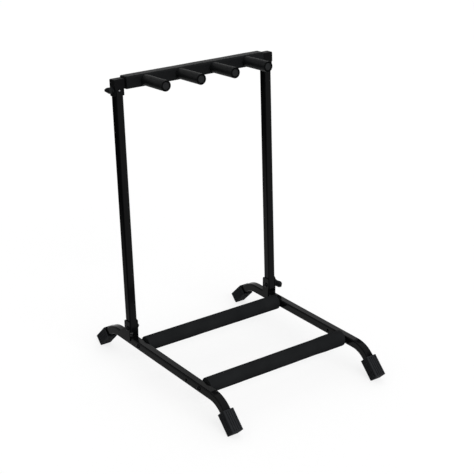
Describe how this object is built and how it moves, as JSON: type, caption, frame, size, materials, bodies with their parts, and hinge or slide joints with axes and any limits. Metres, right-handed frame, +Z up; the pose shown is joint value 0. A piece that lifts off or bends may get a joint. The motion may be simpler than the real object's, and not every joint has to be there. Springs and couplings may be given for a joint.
{
  "type": "multi guitar stand",
  "caption": "Folding floor stand for guitars: square-tube base with foam body rests, leaning posts and a tilting foam neck bar with padded pegs, held by wing knobs.",
  "frame": {"origin": "on the floor under the middle of the stand", "axes": "+Z up, the front faces -Y, +X to the right as seen from the front"},
  "size_m": [0.4466, 0.5434, 0.6707],
  "materials": {
    "black_frame": "satin black powder coat",
    "foam": "matte black closed-cell foam sleeve",
    "boot_rubber": "matte black rubber",
    "black_plastic": "fine grained black",
    "zinc": "bright zinc plate",
    "black_steel": "black oxide"
  },
  "bodies": {
    "base": {"left_base_rail": "black_frame", "right_base_rail": "black_frame", "front_left_foot": "boot_rubber", "front_right_foot": "boot_rubber", "rear_left_foot": "boot_rubber", "rear_right_foot": "boot_rubber", "rear_cross_bar": "black_frame", "rear_cross_bar_foam": "foam", "front_cross_bar": "black_frame", "front_cross_bar_foam": "foam", "cross_bar_inserts": "black_steel", "cross_bar_screws": "black_steel", "left_hinge_bracket": "black_frame", "right_hinge_bracket": "black_frame", "bracket_rivets": "black_steel", "left_hinge_bolt": "black_steel", "left_hinge_nut": "zinc", "right_hinge_bolt": "black_steel"},
    "upright": {"left_post": "black_frame", "right_post": "black_frame", "left_post_bush": "black_plastic", "right_post_bush": "black_plastic", "left_post_plug": "black_plastic", "right_post_plug": "black_plastic", "post_plug_screws": "zinc"},
    "neck_rest": {"left_bar_yoke": "black_plastic", "right_bar_yoke": "black_plastic", "neck_bar": "black_frame", "neck_bar_foam": "foam", "outer_left_peg": "black_frame", "outer_left_peg_foam": "foam", "outer_left_peg_cap": "black_plastic", "inner_left_peg": "black_frame", "inner_left_peg_foam": "foam", "inner_left_peg_cap": "black_plastic", "inner_right_peg": "black_frame", "inner_right_peg_foam": "foam", "inner_right_peg_cap": "black_plastic", "outer_right_peg": "black_frame", "outer_right_peg_foam": "foam", "outer_right_peg_cap": "black_plastic", "left_tilt_bolt": "black_steel", "right_tilt_bolt": "black_steel", "right_tilt_nut": "zinc"},
    "fold_knob": {"fold_knob": "black_plastic"},
    "tilt_knob": {"tilt_knob": "black_plastic"}
  },
  "joints": [
    {"name": "upright_fold", "type": "hinge", "parent": "base", "child": "upright", "pos_m": [0, 0.1323, 0.09239], "axis": [1, 0, 0], "range_deg": [0, 90]},
    {"name": "neck_rest_tilt", "type": "hinge", "parent": "upright", "child": "neck_rest", "pos_m": [0, 0.16104, 0.64083], "axis": [-1, 0, 0], "range_deg": [0, 90]},
    {"name": "fold_knob_turn", "type": "hinge", "parent": "base", "child": "fold_knob", "pos_m": [0.1984, 0.1323, 0.09239], "axis": [1, 0, 0], "continuous": true},
    {"name": "tilt_knob_turn", "type": "hinge", "parent": "neck_rest", "child": "tilt_knob", "pos_m": [-0.1984, 0.16104, 0.64083], "axis": [-1, 0, 0], "continuous": true}
  ]
}
